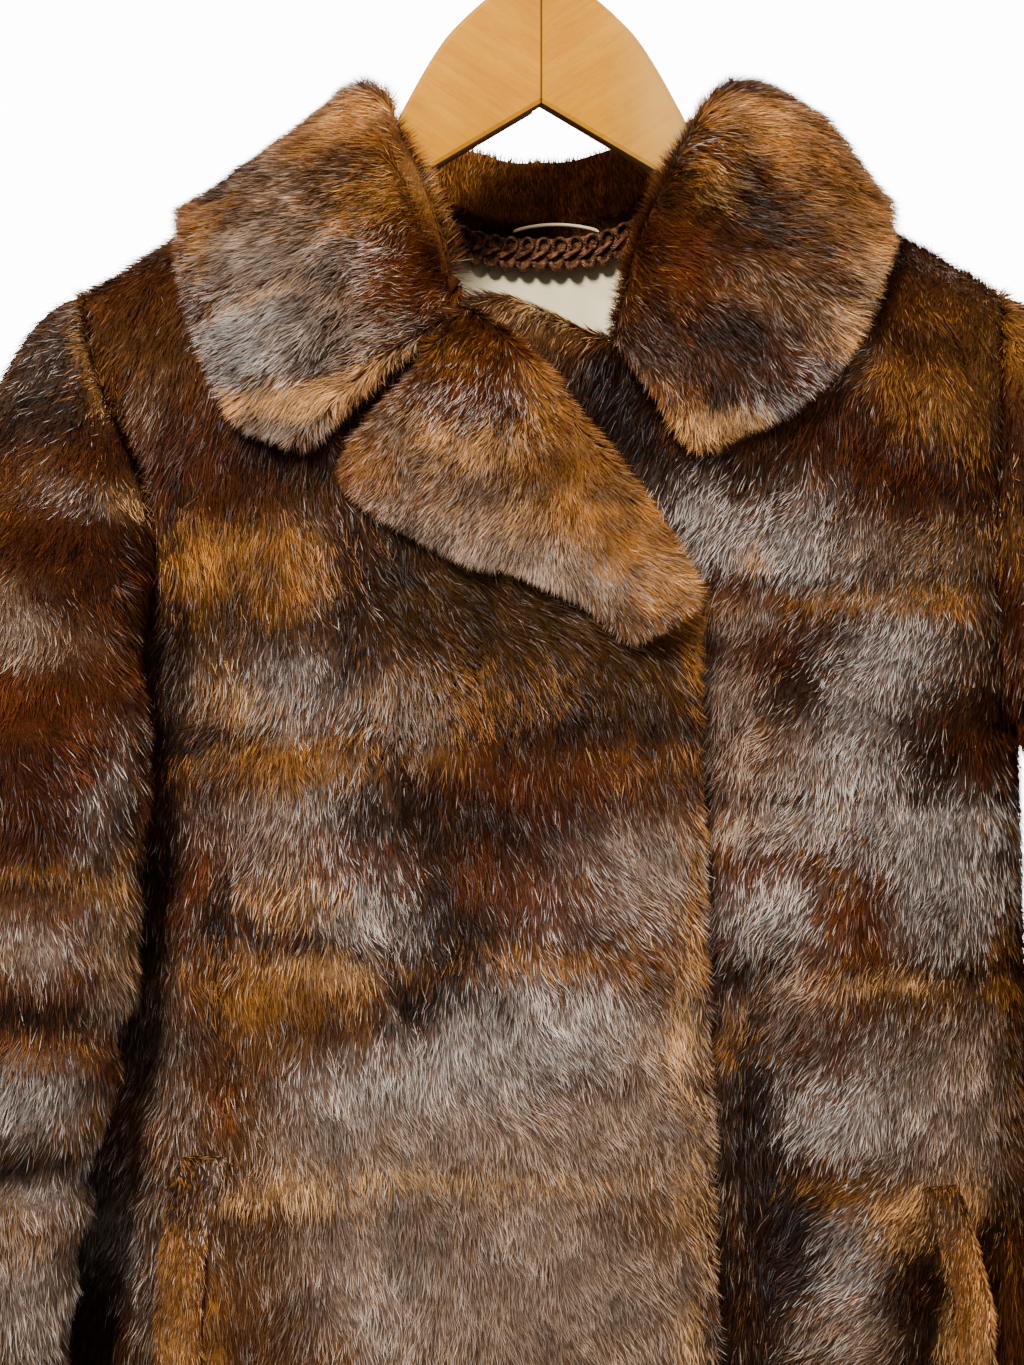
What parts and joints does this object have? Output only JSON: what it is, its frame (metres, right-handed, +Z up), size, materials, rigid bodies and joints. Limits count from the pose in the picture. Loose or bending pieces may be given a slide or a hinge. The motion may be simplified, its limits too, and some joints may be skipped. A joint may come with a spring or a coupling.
{
  "type": "fur coat on a wooden hanger",
  "caption": "Straight, slightly flared fur coat with a fold-down collar, one turned revers, long sleeves and slit pockets, hung open-necked on a shaped wooden hanger.",
  "frame": {"origin": "inside top of the hanger's hook, where the rail carries it", "axes": "+Z up; the coat's front faces -Y; the wearer's right is towards -X"},
  "size_m": [0.6948, 0.2906, 1.064],
  "materials": {
    "fur": "dyed fur, glossy guard hairs over dense underfur, silvered in places",
    "lining": "cream satin",
    "braid": "lustrous looped gimp",
    "hanger_wood": "clear satin varnish",
    "hook_steel": "bright plated"
  },
  "bodies": {
    "root": {"back": "fur", "front_right": "fur", "front_left": "fur", "sleeve_right": "fur", "sleeve_left": "fur", "collar": "fur", "revers_right": "fur", "pocket_edge_right": "fur", "pocket_edge_left": "fur", "lining_back": "lining", "neck_braid": "braid", "neck_loop": "lining", "hanger_arm_right": "hanger_wood", "hanger_arm_left": "hanger_wood", "hanger_hook": "hook_steel"}
  },
  "joints": []
}
